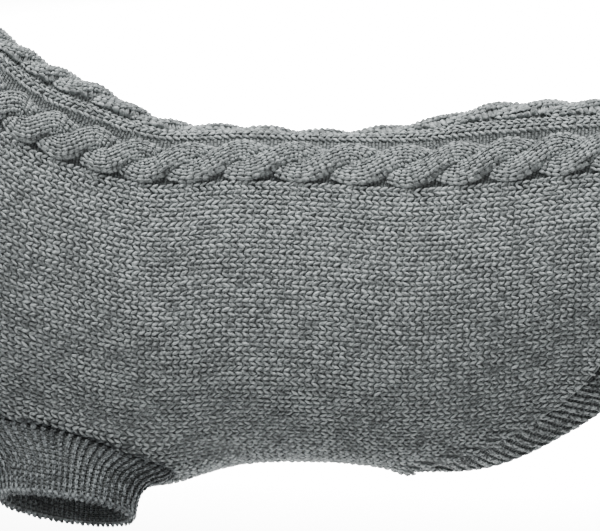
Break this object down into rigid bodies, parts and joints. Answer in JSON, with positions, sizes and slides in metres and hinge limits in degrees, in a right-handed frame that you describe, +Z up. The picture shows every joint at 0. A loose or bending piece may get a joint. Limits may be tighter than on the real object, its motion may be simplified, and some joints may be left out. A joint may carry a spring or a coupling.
{
  "type": "knitted dog sweater",
  "caption": "Hollow knitted wool sweater for a small dog, with twisted cables along the back, a ribbed collar, short ribbed front sleeves and a curved ribbed hem.",
  "frame": {"origin": "inside of the cloth at the withers, where the sweater hangs on the wearer's back", "axes": "+X to the tail, +Z up, -Y to the wearer's left, which is the side that the picture shows"},
  "size_m": [0.5132, 0.1512, 0.3013],
  "materials": {
    "wool_knit": "mid grey marl wool in stocking stitch, soft and slightly hairy",
    "wool_rib": "mid grey marl wool in plain one by one rib"
  },
  "bodies": {
    "root": {"back_panel": "wool_knit", "belly_panel": "wool_knit", "sleeve_left": "wool_rib", "sleeve_right": "wool_rib", "collar": "wool_rib", "hem_rib": "wool_rib"}
  },
  "joints": []
}
